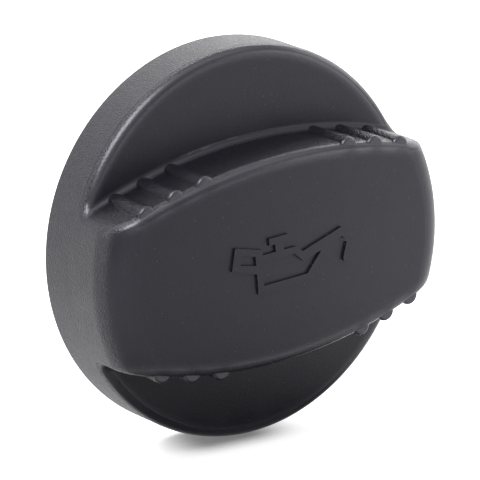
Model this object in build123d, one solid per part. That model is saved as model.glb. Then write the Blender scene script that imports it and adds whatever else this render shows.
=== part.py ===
from build123d import *
import os
from math import radians, sqrt, tan

# Oil filler cap of a car engine, in millimetres.
# The origin is on the cap's axis, in the plane of the seal's lower face.
# +Z points out through the grip and +X runs along the grip.

# Disc and skirt of the cover
cap_radius = 38.0
skirt_height = 10.7  # from the skirt's lower edge to the front of the disc
skirt_wall = 2.4
disc_thickness = 2.6
skirt_flare = 0.3  # lower edge of the skirt outside the rim
skirt_straight = 2.4  # below the front of the disc, above the flare
skirt_lip_round = 0.6

# Grip bar across the disc, flush with the rim at both ends
grip_rise = 13.2  # crown of the grip above the disc
grip_width = 40.2  # across the middle, at the disc
grip_bow_radius = 102.0  # both long sides bulge outwards, seen from the front
grip_draft = 1.3  # degrees
grip_dome_radius = 370.0
grip_end_round = 6.2
grip_wall = 2.6
base_round = 1.4  # hollow corner between the grip and the disc
edge_round = 1.8  # rim of the disc and outer edges of the grip

# Finger ribs on the long sides, in a group at each corner of the grip
rib_radius = 1.9
rib_proud = 0.8  # at the disc, more at the face where the side leans in
ribs_per_corner = 3
rib_pitch = 6.1
rib_corner_gap = 7.3  # along the grip, from its corner to the first rib
rib_drop = 0.5  # flat end of a rib below the domed face
rib_end_round = 0.6

# Oil can symbol raised on the domed face
symbol_height = 0.5
can_outer = [(-7.8, -4.65), (4.3, -4.7), (9.15, 0.8), (11.6, 1.85), (12.5, 1.0), (13.45, 1.9), (11.8, 3.6),
             (2.6, 1.2), (1.2, 2.5), (-7.8, 2.65)]
can_inner = [(-6.45, -3.2), (3.3, -3.35), (6.75, 0.3), (2.55, -0.7), (0.65, 1.2), (-6.45, 1.4)]
handle_outer = [(-11.9, 5.35), (-6.2, 3.65), (-6.2, -1.2), (-13.05, 1.1)]
handle_inner = [(-10.8, 3.65), (-7.55, 2.65), (-7.6, 0.95), (-11.1, 1.85)]
spout_cap = [(-4.6, 4.0), (-0.35, 4.0), (-0.35, 5.35), (-4.6, 5.35)]
spout_cap_neck = [(-3.35, 2.0), (-1.55, 2.0), (-1.55, 4.2), (-3.35, 4.2)]
drop_tip = (12.7, 0.4)
drop_centre = (12.5, -2.6)
drop_radius = 0.85

# Walls inside the cover
channel_width = 5.5  # open ring between the skirt and the collar
collar_wall = 2.0
web_thickness = 1.8
cross_web_spacing = 20.0
ring_web_step = 40.0  # degrees between the webs of one side
ring_web_depth = 4.0

# Plug: flange, seat for the seal, hollow stem and bayonet lugs
flange_thickness = 2.6
flange_clearance = 0.15
flange_lip = 0.35  # flange beyond the seal
stem_length = 15.0  # below the seal
stem_wall = 2.6
stem_end_chamfer = 0.8
lug_reach = 4.5
lug_width = 18.0
lug_thickness = 4.2
lug_ramp_length = 6.0
lug_ramp_fall = 1.4
lug_stop_width = 3.0
lug_gap = 0.9  # lugs inside the seat of the seal
neck_lip = 5.8  # room between seal and lugs for the lip of the filler neck
gate_radius = 1.6
gate_height = 0.5

# Seal
seal_width = 4.6
seal_thickness = 3.5
seal_round = 0.5
seal_stand = 1.2  # seal below its seat
seal_clearance = 0.1

# Heights
underside = seal_thickness + flange_thickness
face = underside + disc_thickness
skirt_edge = face - skirt_height
crown = face + grip_rise

# Radii, from the skirt inwards
skirt_radius = cap_radius + skirt_flare
collar_outer = cap_radius - skirt_wall - channel_width
collar_inner = collar_outer - collar_wall
flange_radius = collar_inner - flange_clearance
seal_outer = flange_radius - flange_lip
seal_inner = seal_outer - seal_width
seat_radius = seal_inner - seal_clearance
lug_radius = seat_radius - lug_gap
stem_radius = lug_radius - lug_reach
stem_bore = stem_radius - stem_wall

over = 1.0  # how far a cutting or joining solid runs past the surface it meets
standing = (Align.CENTER, Align.CENTER, Align.MIN)


def drum(radius, low, high):
    return Pos(0, 0, low) * Cylinder(radius, high - low, align=standing)


def ring(outer, inner, low, high):
    return drum(outer, low, high) - drum(inner, low - over, high + over)


def prism(points, low, high):
    return Pos(0, 0, low) * extrude(make_face(Polyline(*points, close=True)), high - low)


def tapered_drum(low_radius, high_radius, low, high):
    return Pos(0, 0, low) * Cone(low_radius, high_radius, high - low, align=standing)


def domed_drum(radius, low, top, dome_radius, shoulder_round):
    centre = top - dome_radius
    shoulder = centre + sqrt(dome_radius**2 - radius**2)
    halfway = centre + sqrt(dome_radius**2 - (radius / 2) ** 2)
    outline = Polyline((0, top), (0, low), (radius, low), (radius, shoulder))
    outline += ThreePointArc((radius, shoulder), (radius / 2, halfway), (0, top))
    half = make_face(outline)
    corner = half.vertices().sort_by_distance((radius, shoulder))[0]
    return revolve(Plane.XZ * fillet(corner, shoulder_round), Axis.Z)


def bowed_bar(width, bow_radius, low, high):
    lean = tan(radians(grip_draft))
    side = tapered_drum(bow_radius + (face - low) * lean, bow_radius + (face - high) * lean, low, high)
    back = bow_radius - width / 2
    return (Pos(0, -back, 0) * side) & (Pos(0, back, 0) * side)


def circles(body, radius, height):
    def matches(edge):
        return abs(edge.radius - radius) < 1e-3 and abs(edge.arc_center.Z - height) < 1e-3

    return body.edges().filter_by(GeomType.CIRCLE).filter_by(matches)


def finger_ribs():
    back = grip_bow_radius - grip_width / 2
    corner_y = (grip_bow_radius**2 - cap_radius**2 - back**2) / (2 * back)
    corner_x = sqrt(cap_radius**2 - corner_y**2)
    reach = grip_bow_radius - rib_radius + rib_proud
    ribs = []
    for index in range(ribs_per_corner):
        x = corner_x - rib_corner_gap - index * rib_pitch
        y = sqrt(reach**2 - x**2) - back
        top = crown - grip_dome_radius + sqrt(grip_dome_radius**2 - x**2 - y**2) - rib_drop
        rib = drum(rib_radius, underside, top)
        rib = fillet(rib.edges().group_by(Axis.Z)[-1], rib_end_round)
        ribs += [Pos(side_x * x, side_y * y, 0) * rib for side_x in (-1, 1) for side_y in (-1, 1)]
    return ribs


def cover_outside():
    bar = bowed_bar(grip_width, grip_bow_radius, underside, crown + over)
    beside_bar = drum(cap_radius + over, face, crown + over) - bar
    body = domed_drum(cap_radius, skirt_edge, crown, grip_dome_radius, grip_end_round) - beside_bar
    body += tapered_drum(skirt_radius, cap_radius, skirt_edge, face - skirt_straight)
    body = fillet(circles(body, grip_bow_radius, face), base_round)
    body = fillet(circles(body, cap_radius, face), edge_round)
    body = fillet(circles(body, skirt_radius, skirt_edge), skirt_lip_round)
    for rib in finger_ribs():
        body += rib
    return body


def cover_hollow():
    bar = bowed_bar(grip_width - 2 * grip_wall, grip_bow_radius - grip_wall, underside - over, crown)
    inner_round = grip_end_round - grip_wall
    dome = domed_drum(
        cap_radius - grip_wall, underside - over, crown - grip_wall, grip_dome_radius - grip_wall, inner_round
    )
    skirt_room = drum(cap_radius - skirt_wall, skirt_edge - over, underside)
    collar = ring(collar_outer, collar_inner, seal_thickness, crown)
    return skirt_room + (dome & bar) - collar - cross_webs() - ring_webs()


def cross_webs():
    web = Box(web_thickness, grip_width, crown - underside, align=standing)
    half = cross_web_spacing / 2
    return [Pos(x, 0, underside) * web for x in (-half, half)]


def ring_webs():
    length = channel_width + 2 * over
    web = Box(length, web_thickness, ring_web_depth + over, align=(Align.MIN, Align.CENTER, Align.MIN))
    web = Pos(collar_outer - over, 0, underside - ring_web_depth) * web
    turns = [side * 90 + step * ring_web_step for side in (-1, 1) for step in (-1, 0, 1)]
    return [Rot(0, 0, turn) * web for turn in turns]


def oil_can_symbol():
    low, high = face, crown + over
    can = prism(can_outer, low, high) - prism(can_inner, low, high)
    handle = prism(handle_outer, low, high) - prism(handle_inner, low, high)
    cap = prism(spout_cap, low, high) + prism(spout_cap_neck, low, high)
    top = Pos(0, 0, crown - grip_dome_radius) * Sphere(grip_dome_radius + symbol_height)
    return (can + handle + cap + oil_drop(low, high)) & top


def oil_drop(low, high):
    tip, centre = Vector(*drop_tip), Vector(*drop_centre)
    span = (tip - centre).length
    along = (tip - centre).normalized()
    across = Vector(-along.Y, along.X)
    touch = along * (drop_radius**2 / span)
    spread = across * (drop_radius * sqrt(1 - (drop_radius / span) ** 2))
    point = [centre + touch + spread, centre + touch - spread, tip]
    return prism(point, low, high) + Pos(centre.X, centre.Y, 0) * drum(drop_radius, low, high)


def grip_cover():
    return cover_outside() + oil_can_symbol() - cover_hollow()


def bayonet_plug():
    seat = drum(seat_radius, seal_stand, underside)
    stem = drum(stem_radius, -stem_length, underside)
    stem = chamfer(circles(stem, stem_radius, -stem_length), stem_end_chamfer)
    plug = drum(flange_radius, seal_thickness, underside) + seat + stem + bayonet_lugs()
    gate = drum(gate_radius, seal_thickness - gate_height, underside)
    return plug - drum(stem_bore, -stem_length - over, seal_thickness) + gate


def bayonet_lugs():
    half = lug_width / 2
    top, low = -neck_lip, -neck_lip - lug_thickness
    stop = seal_stand + over
    profile = [
        (-half, low),
        (half, low),
        (half, stop),
        (half - lug_stop_width, stop),
        (half - lug_stop_width, top),
        (lug_ramp_length - half, top),
        (-half, top - lug_ramp_fall),
    ]
    slab = extrude(Plane.XZ * make_face(Polyline(*profile, close=True)), -cap_radius)
    lug = slab & ring(lug_radius, stem_radius - over, low - over, stop + over)
    return [lug, Rot(0, 0, 180) * lug]


def sealing_ring():
    body = ring(seal_outer, seal_inner, 0, seal_thickness)
    return fillet(body.edges().filter_by(GeomType.CIRCLE), seal_round)


os.makedirs("parts", exist_ok=True)
for piece in (grip_cover, bayonet_plug, sealing_ring):
    export_step(piece(), f"parts/{piece.__name__}.step")
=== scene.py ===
import math
import bpy
from mathutils import Matrix, Vector

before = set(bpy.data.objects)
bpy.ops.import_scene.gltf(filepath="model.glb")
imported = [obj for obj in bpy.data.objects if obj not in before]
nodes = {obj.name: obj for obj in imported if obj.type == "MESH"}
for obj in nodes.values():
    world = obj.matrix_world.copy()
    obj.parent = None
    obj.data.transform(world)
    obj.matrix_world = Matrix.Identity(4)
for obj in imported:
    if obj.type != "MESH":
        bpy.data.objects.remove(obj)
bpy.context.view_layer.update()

scene = bpy.context.scene
scene.view_settings.view_transform = "Standard"
print("frame loaded:", ", ".join(sorted(nodes)))


# small helpers for building shader nodes, place is the spot in the node editor

def addNode(tree, kind, place=(0, 0), **settings):
    node = tree.nodes.new(kind)
    node.location = (place[0] * 180, place[1] * -160)
    for name, value in settings.items():
        setattr(node, name, value)
    return node


def setInputs(node, **values):
    for name, value in values.items():
        node.inputs[name.replace("_", " ")].default_value = value
    return node


def feedSocket(tree, socket, value):  # a link from another socket, or a plain value
    if isinstance(value, bpy.types.NodeSocket):
        tree.links.new(value, socket)
    elif value is not None:
        socket.default_value = value


def mathNode(tree, operation, first, second=None, place=(0, 0), clamp=False):
    node = addNode(tree, "ShaderNodeMath", place, operation=operation, use_clamp=clamp)
    feedSocket(tree, node.inputs[0], first)
    feedSocket(tree, node.inputs[1], second)
    return node.outputs[0]


def dotNode(tree, vector, direction, place=(0, 0)):
    node = addNode(tree, "ShaderNodeVectorMath", place, operation="DOT_PRODUCT")
    tree.links.new(vector, node.inputs[0])
    node.inputs[1].default_value = direction
    return node.outputs["Value"]


def rampNode(tree, value, limits, place=(0, 0)):  # smooth step from 0 at the first limit to 1 at the second
    node = addNode(tree, "ShaderNodeMapRange", place, interpolation_type="SMOOTHSTEP")
    tree.links.new(value, node.inputs["Value"])
    feedSocket(tree, node.inputs["From Min"], limits[0])
    feedSocket(tree, node.inputs["From Max"], limits[1])
    return node.outputs["Result"]


def mixColour(tree, mask, first, second, place=(0, 0)):
    node = addNode(tree, "ShaderNodeMix", place, data_type="RGBA")
    for index, value in ((0, mask), (6, first), (7, second)):  # colour sockets of the Mix node
        feedSocket(tree, node.inputs[index], value)
    return node.outputs[2]


def mixValue(tree, mask, first, second, place=(0, 0)):
    node = addNode(tree, "ShaderNodeMix", place, data_type="FLOAT")
    for index, value in ((0, mask), (2, first), (3, second)):  # its value sockets
        feedSocket(tree, node.inputs[index], value)
    return node.outputs[0]


def noiseNode(tree, vector, scale, place=(0, 0), detail=2.0, roughness=0.5):
    node = addNode(tree, "ShaderNodeTexNoise", place)
    setInputs(node, Detail=detail, Roughness=roughness)
    tree.links.new(vector, node.inputs["Vector"])
    feedSocket(tree, node.inputs["Scale"], scale)
    return node.outputs["Fac"]


def newGroup(name, inputs, outputs):
    group = bpy.data.node_groups.new(name, "ShaderNodeTree")
    for label, value in inputs.items():
        socket = group.interface.new_socket(label, in_out="INPUT", socket_type="NodeSocketFloat")
        socket.default_value = value
    for label in outputs:
        group.interface.new_socket(label, in_out="OUTPUT", socket_type="NodeSocketFloat")
    return group, addNode(group, "NodeGroupInput", (-5, 0)), addNode(group, "NodeGroupOutput", (6, 0))


def placeGroup(tree, group, place=(0, 0), **values):
    node = addNode(tree, "ShaderNodeGroup", place, node_tree=group)
    return setInputs(node, **values)


def newMaterial(name):
    material = bpy.data.materials.new(name)
    material.use_nodes = True
    tree = material.node_tree
    return material, tree, tree.nodes["Principled BSDF"]


def addBump(tree, shader, height, depth):
    bump = addNode(tree, "ShaderNodeBump", (-2, 4))
    setInputs(bump, Strength=1.0, Distance=depth)
    tree.links.new(height, bump.inputs["Height"])
    tree.links.new(bump.outputs["Normal"], shader.inputs["Normal"])


def dress(nodeName, material):
    mesh = nodes[nodeName].data
    mesh.materials.clear()
    mesh.materials.append(material)


# camera, at the photo's angle, rolled so that the grip lies across the picture

cameraShot = {
    "azimuth": -121.8375,  # degrees, 0 looks along +Y
    "elevation": 53.1632,
    "roll": 111.4669,
    "distance": 0.47442,
    "aim": (-0.002991, 0.001898, 0.010),
    "lens": 190.557,
}


def makeCamera(shot):
    data = bpy.data.cameras.new("camera")
    data.lens = shot["lens"]
    data.clip_start, data.clip_end = 0.01, 20
    camera = bpy.data.objects.new("camera", data)
    scene.collection.objects.link(camera)
    turn, lift = math.radians(shot["azimuth"]), math.radians(shot["elevation"])
    back = Vector((math.sin(turn) * math.cos(lift), -math.cos(turn) * math.cos(lift), math.sin(lift)))
    upright = (-back).to_track_quat("-Z", "Y").to_matrix()
    rolled = upright @ Matrix.Rotation(math.radians(shot["roll"]), 3, "Z")
    spot = Vector(shot["aim"]) + back * shot["distance"]
    camera.matrix_world = Matrix.Translation(spot) @ rolled.to_4x4()
    scene.camera = camera


makeCamera(cameraShot)
print("camera placed")


# floor and light: the cap stands on its rim, so the floor touches the skirt

floorUp = Vector((0.099, 0.995, 0.0)).normalized()
floorFront = Vector((0.0, 0.0, 1.0))
floorRight = floorUp.cross(floorFront)

floorLook = {  # pairs are the ends of a soft change, lengths in metres
    "size": 8.0,
    "drop": 0.0383,  # from the cap's axis to the floor
    "colour": (0.8, 0.8, 0.8, 1),
    "roughness": 0.9,
    "glossGlow": 0.22,  # painted reflection: how much white the floor glows for the plastic's gloss in front, on the left
    "glossGlowRight": 0.58,  # the same on the right
    "glossGlowBack": 1.0,  # and behind the cap, on the left
    "glossSlant": (-0.115, 0.035),  # from front left to back right
    "glossBehind": (-0.01, -0.05),  # towards the left
    "shadowReach": 0.0075,  # painted shadow, soft, where the rim stands
    "shadowOpen": (0.42, 0.98),
    "shadowDark": 0.16,
    "shadowAhead": (-0.004, 0.001),  # it starts beside the rim
    "shadowBeside": (0.019, 0.004),  # and fades to both sides
    "shadowLeft": 0.004,
    "shadeReach": 0.09,  # painted shade in the floor's colour, softer, in front of it, away from the light
    "shadeColour": (0.1, 0.1, 0.1, 1),
    "shadeOpen": (0.60, 1.0),
    "shadeAhead": (0.0, 0.012),
}
worldLook = {  # soft light, brightest behind the cap
    "backRight": {"toward": (-1.0, 0.7, 0.0), "strength": 2.3},  # front, right, up
    "backLeft": {"toward": (-1.0, -0.7, 0.0), "strength": 0.45},
    "above": {"toward": (0.0, 0.0, 1.0), "strength": 0.1},
    "front": {"toward": (1.0, 0.4, 0.5), "strength": 0.25},
}
worldFalloff = 2.0  # higher makes each of them narrower
lamps = {  # azimuth 0 is in front of the grip, 90 to its right; strength 1 lights a white card to white
    "top_back": {"azimuth": 190, "elevation": 54, "size": 0.9, "strength": 0.42},
    "back_right": {"azimuth": 135, "elevation": 38, "size": 0.6, "strength": 0.30},
    "back_left": {"azimuth": 225, "elevation": 38, "size": 0.6, "strength": 0.18},
    "low_left": {"azimuth": 250, "elevation": 8, "size": 0.4, "strength": 0.18},
    "low_right": {"azimuth": 45, "elevation": 12, "size": 0.5, "strength": 0.13},
    "right": {"azimuth": 80, "elevation": 25, "size": 0.6, "strength": 0.154},
    "key": {"azimuth": 319, "elevation": 44, "size": 0.7, "strength": 1.05, "capOnly": True},
    "front": {"azimuth": 345, "elevation": 22, "size": 0.7, "strength": 0.08, "capOnly": True},
    "top_front": {"azimuth": 25, "elevation": 58, "size": 0.9, "strength": 0.20, "capOnly": True},
}
lampPower = math.pi**2  # watts of strength 1, from one metre away


def aroundCap(front, right, up):
    return (floorFront * front + floorRight * right + floorUp * up).normalized()


def seenDirectly(tree, light, place):  # 1 where the camera looks, also through something clear
    rays = light.outputs
    return mathNode(tree, "MAXIMUM", rays["Is Camera Ray"], rays["Is Transmission Ray"], place)


def openness(tree, reach, limits, place):  # 0 close to the cap, 1 in the open
    node = addNode(tree, "ShaderNodeAmbientOcclusion", place, samples=8)
    setInputs(node, Distance=reach)
    return rampNode(tree, node.outputs["AO"], limits, (place[0] + 1, place[1]))


def makeFloorMaterial(look):
    material, tree, shader = newMaterial("pale_floor")
    setInputs(shader, Roughness=look["roughness"], Specular_IOR_Level=0.0, Emission_Color=(1, 1, 1, 1))
    light = addNode(tree, "ShaderNodeLightPath", (-6, 2))
    spot = addNode(tree, "ShaderNodeNewGeometry", (-8, 1))
    ahead = dotNode(tree, spot.outputs["Position"], floorFront, (-7, 1))
    aside = dotNode(tree, spot.outputs["Position"], floorRight, (-7, 3))

    # painted shade: the floor's colour darkens close in front of the cap
    front = rampNode(tree, ahead, look["shadeAhead"], (-6, 1))
    bright = openness(tree, look["shadeReach"], look["shadeOpen"], (-5, 0))
    bright = mixValue(tree, front, 1.0, bright, (-3, 1))
    colour = mixColour(tree, bright, look["shadeColour"], look["colour"], (-2, 0))
    tree.links.new(colour, shader.inputs["Base Color"])

    # painted shadow: the floor's white glow dims close to the rim
    pale = openness(tree, look["shadowReach"], look["shadowOpen"], (-5, 4))
    pale = mixValue(tree, pale, look["shadowDark"], 1.0, (-3, 4))
    foot = rampNode(tree, ahead, look["shadowAhead"], (-4, 5))
    middle = mathNode(tree, "ADD", aside, look["shadowLeft"], (-6, 6))
    beside = mathNode(tree, "ABSOLUTE", middle, None, (-5, 6))
    foot = mathNode(tree, "MULTIPLY", foot, rampNode(tree, beside, look["shadowBeside"], (-4, 6)), (-3, 5))
    shadow = mixValue(tree, foot, 1.0, pale, (-2, 4))
    glow = mathNode(tree, "MULTIPLY", seenDirectly(tree, light, (-5, 2)), shadow, (-3, 2))

    # painted reflection: only glossy rays see the floor glow, brighter to the right and behind on the left,
    # dimmer in the painted shade
    left = rampNode(tree, aside, look["glossBehind"], (-6, 3))
    behind = mathNode(tree, "SUBTRACT", left, front, (-5, 3), True)
    slant = mathNode(tree, "SUBTRACT", aside, ahead, (-7, 4))
    right = rampNode(tree, slant, look["glossSlant"], (-6, 4))
    level = mixValue(tree, right, look["glossGlow"], look["glossGlowRight"], (-5, 4))
    level = mixValue(tree, behind, level, look["glossGlowBack"], (-4, 3))
    gloss = mathNode(tree, "MULTIPLY", light.outputs["Is Glossy Ray"], bright, (-3, 3))
    gloss = mathNode(tree, "MULTIPLY", gloss, level, (-2, 3))
    glow = mathNode(tree, "MAXIMUM", glow, gloss, (-1, 2))
    tree.links.new(glow, shader.inputs["Emission Strength"])

    clear = addNode(tree, "ShaderNodeBsdfTransparent", (1, 3))
    mix = addNode(tree, "ShaderNodeMixShader", (3, 1))
    tree.links.new(spot.outputs["Backfacing"], mix.inputs[0])  # clear from below, to see the cap through it
    tree.links.new(shader.outputs[0], mix.inputs[1])
    tree.links.new(clear.outputs[0], mix.inputs[2])
    tree.links.new(mix.outputs[0], tree.nodes["Material Output"].inputs["Surface"])
    return material


def makeFloor(look):
    half = look["size"] / 2
    mesh = bpy.data.meshes.new("floor")
    corners = [floorRight * right * half + floorFront * front * half - floorUp * look["drop"]
               for right, front in ((-1, -1), (-1, 1), (1, 1), (1, -1))]
    mesh.from_pydata(corners, [], [(0, 1, 2, 3)])
    mesh.materials.append(makeFloorMaterial(look))
    floor = bpy.data.objects.new("floor", mesh)
    scene.collection.objects.link(floor)


def makeWorld(look):
    world = bpy.data.worlds.new("studio")
    world.use_nodes = True
    tree = world.node_tree
    coords = addNode(tree, "ShaderNodeTexCoord", (-8, 0))
    total = 0.0
    for row, patch in enumerate(look.values()):
        toward = dotNode(tree, coords.outputs["Generated"], aroundCap(*patch["toward"]), (-7, row))
        facing = mathNode(tree, "MAXIMUM", toward, 0.0, (-6, row))
        soft = mathNode(tree, "POWER", facing, worldFalloff, (-5, row))
        lit = mathNode(tree, "MULTIPLY", soft, patch["strength"], (-4, row))
        total = mathNode(tree, "ADD", lit, total, (-3, row))
    light = addNode(tree, "ShaderNodeLightPath", (-4, -2))
    strength = mixValue(tree, seenDirectly(tree, light, (-3, -2)), total, 1.0, (-2, 0))  # seen as white
    background = tree.nodes["Background"]
    setInputs(background, Color=(1, 1, 1, 1))
    tree.links.new(strength, background.inputs["Strength"])
    scene.world = world


def makeLamp(name, lamp):
    data = bpy.data.lights.new(name, "AREA")
    data.shape = "DISK"
    data.size = lamp["size"]
    data.energy = lamp["strength"] * lampPower
    light = bpy.data.objects.new(name, data)
    scene.collection.objects.link(light)
    turn, lift = math.radians(lamp["azimuth"]), math.radians(lamp["elevation"])
    direction = aroundCap(math.cos(turn) * math.cos(lift), math.sin(turn) * math.cos(lift), math.sin(lift))
    light.location = direction
    light.rotation_mode = "QUATERNION"
    light.rotation_quaternion = direction.to_track_quat("Z", "Y")
    if lamp.get("capOnly"):
        light.light_linking.receiver_collection = capPieces


capPieces = bpy.data.collections.new("cap_pieces")  # all that the capOnly lamps light
for node in nodes.values():
    capPieces.objects.link(node)
makeFloor(floorLook)
makeWorld(worldLook)
for name, lamp in lamps.items():
    makeLamp(name, lamp)
print("floor, world and lamps made")


# finishes that more than one piece uses; a normal's height is 1 on the disc and 0 on the skirt

grainFinish = {
    "wideScale": 0.32,  # a second, coarser noise
    "wideHeight": 0.3,
    "middle": 0.65,  # taken off, so that the grain goes up and down
    "toneLimits": (0.3, 0.7),
    "flatNormal": (0.32, 0.76),  # polished in the mould on disc and face
    "patchScale": 200.0,
    "patchLimits": (0.35, 0.7),
}
sideFinish = {"steepNormal": (0.6, 0.25)}
rubFinish = {
    "frontNormal": (0.15, 0.5),  # only edges turned to the front
    "wornScale": 2600.0,
    "wornLimits": (0.15, 0.6),
    "wornLeast": 0.45,
}


def axisRadius(tree, coords, place):
    flat = addNode(tree, "ShaderNodeVectorMath", place, operation="MULTIPLY")
    tree.links.new(coords.outputs["Object"], flat.inputs[0])
    flat.inputs[1].default_value = (1, 1, 0)
    radius = addNode(tree, "ShaderNodeVectorMath", (place[0] + 1, place[1]), operation="LENGTH")
    tree.links.new(flat.outputs["Vector"], radius.inputs[0])
    return radius.outputs["Value"]


def normalHeight(tree, coords, place):
    facing = addNode(tree, "ShaderNodeSeparateXYZ", place)
    tree.links.new(coords.outputs["Normal"], facing.inputs[0])
    return facing.outputs["Z"]


def makeMouldGrain(finish):  # fine sparked grain of the mould
    inputs = {"Grain Size": 0.0003, "Flat Share": 0.12}
    group, feed, out = newGroup("mouldGrain", inputs, ["Height", "Tone", "Patches"])
    coords = addNode(group, "ShaderNodeTexCoord", (-5, 2))
    spot = coords.outputs["Object"]
    fineScale = mathNode(group, "DIVIDE", 1.0, feed.outputs["Grain Size"], (-4, 0))
    wideScale = mathNode(group, "MULTIPLY", fineScale, finish["wideScale"], (-4, 1))
    fine = noiseNode(group, spot, fineScale, (-2, 0), detail=1.0)
    wide = noiseNode(group, spot, wideScale, (-2, 1))
    wide = mathNode(group, "MULTIPLY", wide, finish["wideHeight"], (-1, 1))
    height = mathNode(group, "ADD", fine, wide, (0, 0))
    height = mathNode(group, "SUBTRACT", height, finish["middle"], (1, 0))
    flat = rampNode(group, normalHeight(group, coords, (-3, 5)), finish["flatNormal"], (-2, 5))
    share = mixValue(group, flat, 1.0, feed.outputs["Flat Share"], (-1, 5))
    group.links.new(mathNode(group, "MULTIPLY", height, share, (2, 0)), out.inputs["Height"])
    tone = rampNode(group, fine, finish["toneLimits"], (1, 1))
    group.links.new(mathNode(group, "MULTIPLY", tone, share, (2, 1)), out.inputs["Tone"])
    patches = noiseNode(group, spot, finish["patchScale"], (-2, 3), detail=3.0, roughness=0.6)
    group.links.new(rampNode(group, patches, finish["patchLimits"], (1, 3)), out.inputs["Patches"])
    return group


def makeInnerSides(finish):  # steep sides within a radius, such as those of the grip
    group, feed, out = newGroup("innerSides", {"Radius": 0.03, "Blend": 0.0005}, ["Mask"])
    coords = addNode(group, "ShaderNodeTexCoord", (-5, 1))
    outer = mathNode(group, "ADD", feed.outputs["Radius"], feed.outputs["Blend"], (-3, 2))
    inner = mathNode(group, "SUBTRACT", feed.outputs["Radius"], feed.outputs["Blend"], (-3, 3))
    within = rampNode(group, axisRadius(group, coords, (-4, 1)), (outer, inner), (-1, 1))
    steep = rampNode(group, normalHeight(group, coords, (-4, 0)), finish["steepNormal"], (-1, 0))
    group.links.new(mathNode(group, "MULTIPLY", within, steep, (1, 0)), out.inputs["Mask"])
    return group


def makeEdgeRubAndHighlight(finish):  # edges that hands have rubbed smoother and paler; the paler colour is partly wear and partly painted highlight
    inputs = {"Reach": 0.0018, "Low": 0.01, "High": 0.06, "Clear Radius": 0.0}
    group, feed, out = newGroup("edgeRubAndHighlight", inputs, ["Mask"])
    inside = addNode(group, "ShaderNodeAmbientOcclusion", (-3, 0), inside=True, only_local=True, samples=16)
    group.links.new(feed.outputs["Reach"], inside.inputs["Distance"])
    bare = mathNode(group, "SUBTRACT", 1.0, inside.outputs["AO"], (-2, 0))
    edge = rampNode(group, bare, (feed.outputs["Low"], feed.outputs["High"]), (-1, 0))
    coords = addNode(group, "ShaderNodeTexCoord", (-4, 2))
    worn = noiseNode(group, coords.outputs["Object"], finish["wornScale"], (-3, 2), roughness=0.6)
    broken = rampNode(group, worn, finish["wornLimits"], (-2, 2))
    broken = mixValue(group, broken, finish["wornLeast"], 1.0, (0, 2))
    radius = axisRadius(group, coords, (-3, 3))
    clear = mathNode(group, "GREATER_THAN", radius, feed.outputs["Clear Radius"], (-1, 3))
    front = rampNode(group, normalHeight(group, coords, (-3, 4)), finish["frontNormal"], (-2, 4))
    clear = mathNode(group, "MULTIPLY", clear, front, (0, 3))
    rubbed = mathNode(group, "MULTIPLY", edge, broken, (1, 0))
    group.links.new(mathNode(group, "MULTIPLY", rubbed, clear, (2, 0)), out.inputs["Mask"])
    return group


def makeDustSpecks():  # small pale specks
    group, feed, out = newGroup("dustSpecks", {"Spacing": 0.0014, "Share": 0.3, "Speck": 0.08}, ["Mask"])
    coords = addNode(group, "ShaderNodeTexCoord", (-5, 1))
    cells = addNode(group, "ShaderNodeTexVoronoi", (-3, 0))
    group.links.new(coords.outputs["Object"], cells.inputs["Vector"])
    scale = mathNode(group, "DIVIDE", 1.0, feed.outputs["Spacing"], (-4, 0))
    group.links.new(scale, cells.inputs["Scale"])
    dot = mathNode(group, "LESS_THAN", cells.outputs["Distance"], feed.outputs["Speck"], (-1, 0))
    pick = addNode(group, "ShaderNodeSeparateColor", (-2, 1))
    group.links.new(cells.outputs["Color"], pick.inputs[0])
    chosen = mathNode(group, "LESS_THAN", pick.outputs[0], feed.outputs["Share"], (-1, 1))
    group.links.new(mathNode(group, "MULTIPLY", dot, chosen, (1, 0)), out.inputs["Mask"])
    return group


mouldGrain = makeMouldGrain(grainFinish)
innerSides = makeInnerSides(sideFinish)
edgeRubAndHighlight = makeEdgeRubAndHighlight(rubFinish)
dustSpecks = makeDustSpecks()
print("finishes made")


# moulded cover

coverLook = {
    "colour": (0.0040, 0.0037, 0.0066, 1),
    "toneColour": (0.0068, 0.0064, 0.0094, 1),
    "rubAndHighlightColour": (0.024, 0.0233, 0.029, 1),
    "dustColour": (0.05, 0.05, 0.055, 1),
    "roughness": 0.37,
    "patchRoughness": 0.43,
    "grainRoughness": 0.46,
    "sideRoughness": 0.26,  # sides of the grip
    "sideRadius": 0.0367,
    "rubRoughness": 0.22,
    "rubShine": 0.44,
    "rubShineRoughness": 0.34,  # soft shine on the rubbed edges
    "specular": 0.52,
    "specularTint": (0.915, 0.90, 1.0, 1),
    "grainSize": 0.00027,
    "grainDepth": 0.00026,
    "rubReach": 0.0023,
    "dustShare": 0.5,
    "symbolRadius": 0.017,  # edges inside it stay unrubbed
}


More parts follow.
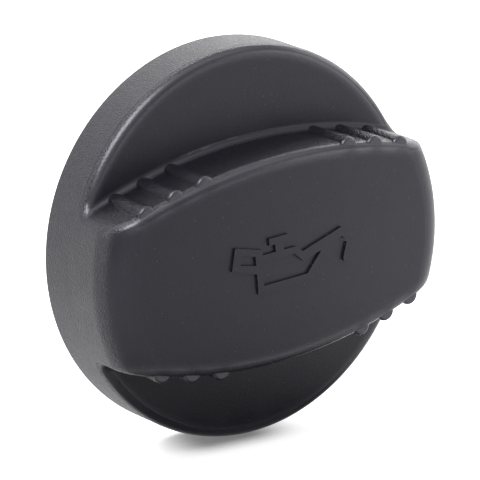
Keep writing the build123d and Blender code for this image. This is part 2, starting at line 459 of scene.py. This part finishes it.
def mouldedPlastic(name, look):
    material, tree, shader = newMaterial(name)
    grain = placeGroup(tree, mouldGrain, (-6, 0), Grain_Size=look["grainSize"])
    rubAndHighlight = placeGroup(tree, edgeRubAndHighlight, (-6, 2), Reach=look["rubReach"], Clear_Radius=look["symbolRadius"])
    dust = placeGroup(tree, dustSpecks, (-6, 4), Share=look["dustShare"])
    sides = placeGroup(tree, innerSides, (-6, 6), Radius=look["sideRadius"])
    colour = mixColour(tree, grain.outputs["Tone"], look["colour"], look["toneColour"], (-4, 0))
    # rubbed edges turn paler: partly wear, partly a painted highlight
    colour = mixColour(tree, rubAndHighlight.outputs["Mask"], colour, look["rubAndHighlightColour"], (-3, 0))
    colour = mixColour(tree, dust.outputs["Mask"], colour, look["dustColour"], (-2, 0))
    tree.links.new(colour, shader.inputs["Base Color"])
    rough = mixValue(tree, grain.outputs["Patches"], look["roughness"], look["patchRoughness"], (-5, 2))
    rough = mixValue(tree, grain.outputs["Tone"], rough, look["grainRoughness"], (-4, 2))
    rough = mixValue(tree, sides.outputs["Mask"], rough, look["sideRoughness"], (-3, 2))
    rough = mixValue(tree, rubAndHighlight.outputs["Mask"], rough, look["rubRoughness"], (-2, 2))
    tree.links.new(rough, shader.inputs["Roughness"])
    shine = mathNode(tree, "MULTIPLY", rubAndHighlight.outputs["Mask"], look["rubShine"], (-3, 6))
    tree.links.new(shine, shader.inputs["Coat Weight"])
    setInputs(shader, Specular_IOR_Level=look["specular"], Specular_Tint=look["specularTint"])
    setInputs(shader, Coat_Roughness=look["rubShineRoughness"])
    addBump(tree, shader, grain.outputs["Height"], look["grainDepth"])
    return material


dress("grip_cover", mouldedPlastic("cover_plastic", coverLook))
print("cover dressed")


# plug, smoother than the cover

plugLook = {
    "colour": (0.0085, 0.0085, 0.0100, 1),
    "toneColour": (0.0120, 0.0120, 0.0135, 1),
    "rubAndHighlightColour": (0.030, 0.030, 0.033, 1),
    "dustColour": (0.05, 0.05, 0.055, 1),
    "roughness": 0.36,
    "patchRoughness": 0.42,
    "grainRoughness": 0.40,
    "sideRoughness": 0.36,
    "sideRadius": 0.0,
    "rubRoughness": 0.28,
    "rubShine": 0.3,
    "rubShineRoughness": 0.34,
    "specular": 0.5,
    "specularTint": (1, 1, 1, 1),
    "grainSize": 0.0006,
    "grainDepth": 0.00003,
    "rubReach": 0.0012,
    "dustShare": 0.2,
    "symbolRadius": 0.0,
}

dress("bayonet_plug", mouldedPlastic("plug_plastic", plugLook))
print("plug dressed")


# rubber seal, matt, with a faint bloom

sealLook = {
    "colour": (0.0095, 0.0095, 0.0095, 1),
    "bloomColour": (0.022, 0.0215, 0.021, 1),
    "roughness": 0.68,
    "bloomRoughness": 0.80,
    "specular": 0.4,
    "grainSize": 0.0002,
    "grainDepth": 0.00002,
}


def sealRubber(look):
    material, tree, shader = newMaterial("seal_rubber")
    grain = placeGroup(tree, mouldGrain, (-6, 0), Grain_Size=look["grainSize"], Flat_Share=1.0)
    colour = mixColour(tree, grain.outputs["Patches"], look["colour"], look["bloomColour"], (-3, 0))
    tree.links.new(colour, shader.inputs["Base Color"])
    rough = mixValue(tree, grain.outputs["Patches"], look["roughness"], look["bloomRoughness"], (-3, 2))
    tree.links.new(rough, shader.inputs["Roughness"])
    setInputs(shader, Specular_IOR_Level=look["specular"])
    addBump(tree, shader, grain.outputs["Height"], look["grainDepth"])
    return material


dress("sealing_ring", sealRubber(sealLook))
print("seal dressed")
